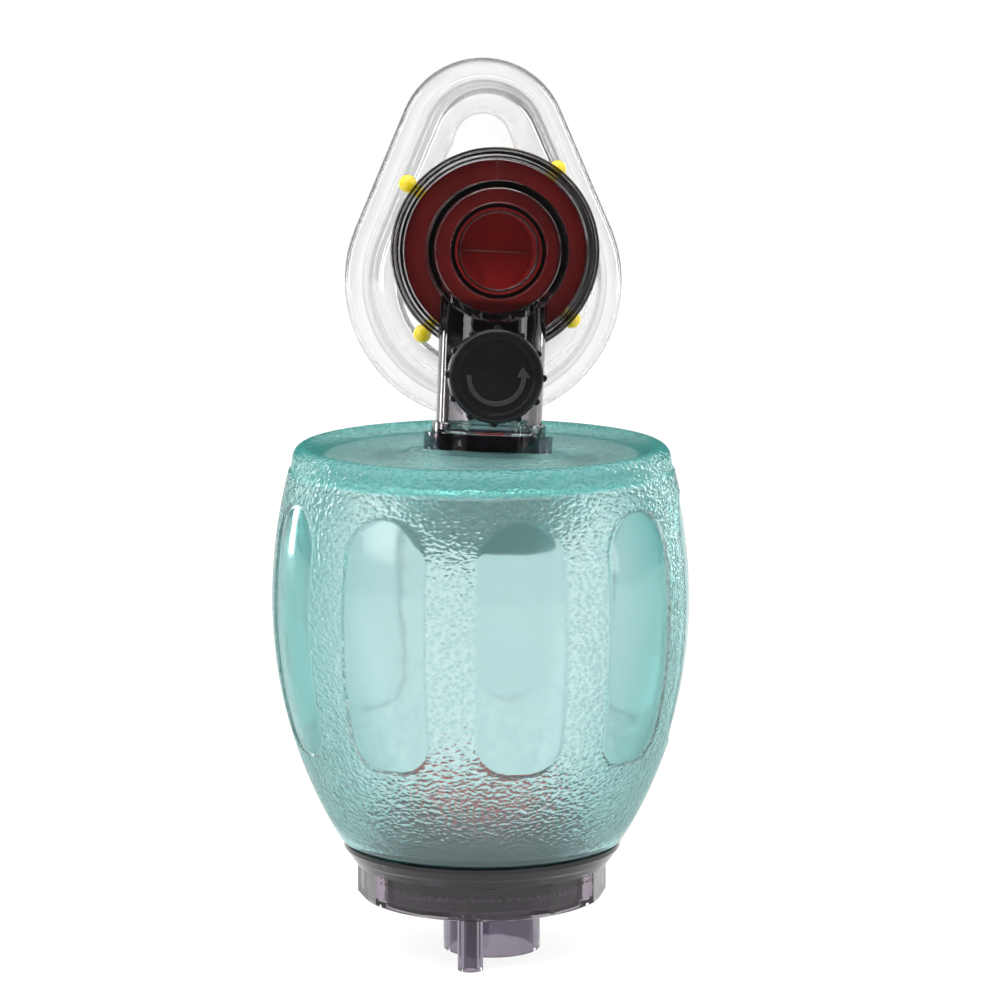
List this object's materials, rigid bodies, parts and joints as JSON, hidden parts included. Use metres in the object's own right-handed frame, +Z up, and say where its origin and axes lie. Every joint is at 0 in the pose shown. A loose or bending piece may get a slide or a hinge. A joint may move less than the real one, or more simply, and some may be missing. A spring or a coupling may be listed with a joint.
{
  "type": "bag valve mask",
  "caption": "Hand-squeezed resuscitator: translucent vinyl bag with intake valve, clear patient valve with pop-off, and an inflated face mask.",
  "frame": {"origin": "centre of the open end of the reservoir port, in the plane the object stands on, 2.2 mm beside the bag's axis", "axes": "+Z up along the bag from the port to the patient valve, +Y back towards the face mask, -Y front where the pop-off valve faces, +X right seen from the front"},
  "size_m": [0.0942, 0.119, 0.1978],
  "materials": {
    "bag_vinyl": "translucent teal vinyl, crinkled outside",
    "light_smoke": "light smoky clear, polished",
    "dark_smoke": "dark smoky clear, polished",
    "clear_smoke": "nearly clear, faint smoke, polished",
    "clear_silicone": "milky silicone",
    "red_silicone": "satin silicone",
    "white_plastic": "satin",
    "spring_steel": "drawn wire",
    "black_plastic": "satin black",
    "mask_shell": "clear vinyl shell, polished",
    "mask_vinyl": "clear soft vinyl, inflated",
    "yellow_plastic": "gloss"
  },
  "bodies": {
    "bag": {"bag": "bag_vinyl", "neck_connector": "dark_smoke", "neck_seal": "clear_silicone"},
    "intake": {"intake_collar": "dark_smoke", "intake_seat": "light_smoke", "flap_pin": "light_smoke", "intake_nut": "dark_smoke", "inlet_gasket": "clear_silicone"},
    "inlet": {"reservoir_inlet_cap": "light_smoke"},
    "intake_flap": {"intake_flap": "red_silicone"},
    "valve": {"valve_housing": "clear_smoke", "rear_cover": "clear_smoke", "popoff_spring": "spring_steel"},
    "lip_valve": {"lip_valve": "red_silicone"},
    "popoff_poppet": {"popoff_poppet": "white_plastic", "popoff_seal": "clear_silicone"},
    "popoff_knob": {"popoff_knob": "black_plastic"},
    "mask": {"mask_dome": "mask_shell", "mask_cushion": "mask_vinyl"},
    "hook_ring": {"hook_ring": "yellow_plastic"}
  },
  "joints": [
    {"name": "bag_squeeze", "type": "slide", "parent": "bag", "child": "intake", "axis": [0, 0, 1], "range_m": [0, 0.025], "stiffness_N_per_m": 600, "springref_m": -0.005, "deforming": ["bag"]},
    {"name": "inlet_swivel", "type": "hinge", "parent": "intake", "child": "inlet", "pos_m": [-0.0022, 0, 0], "axis": [0, 0, 1], "continuous": true},
    {"name": "intake_flap_lift", "type": "slide", "parent": "intake", "child": "intake_flap", "axis": [0, 0, 1], "range_m": [0, 0.0015]},
    {"name": "valve_swivel", "type": "hinge", "parent": "bag", "child": "valve", "pos_m": [-0.00085, 0, 0.1135], "axis": [0.0451, 0.1045, 0.9935], "continuous": true},
    {"name": "lip_valve_shift", "type": "slide", "parent": "valve", "child": "lip_valve", "axis": [-0.0047, 0.9945, -0.1044], "range_m": [0, 0.0015], "stiffness_N_per_m": 15},
    {"name": "popoff_lift", "type": "slide", "parent": "valve", "child": "popoff_poppet", "axis": [0.0047, -0.9945, 0.1044], "range_m": [0, 0.0015], "stiffness_N_per_m": 90, "springref_m": -0.0014, "deforming": ["popoff_spring"]},
    {"name": "popoff_knob_turn", "type": "hinge", "parent": "valve", "child": "popoff_knob", "pos_m": [-0.00006, 0.00184, 0.13099], "axis": [0.0047, -0.9945, 0.1044], "range_deg": [0, 90]},
    {"name": "mask_swivel", "type": "hinge", "parent": "valve", "child": "mask", "pos_m": [0.00118, 0.0047, 0.15821], "axis": [-0.0047, 0.9945, -0.1044], "continuous": true},
    {"name": "hook_ring_turn", "type": "hinge", "parent": "mask", "child": "hook_ring", "pos_m": [0.00118, 0.0047, 0.15821], "axis": [-0.0047, 0.9945, -0.1044], "continuous": true}
  ]
}
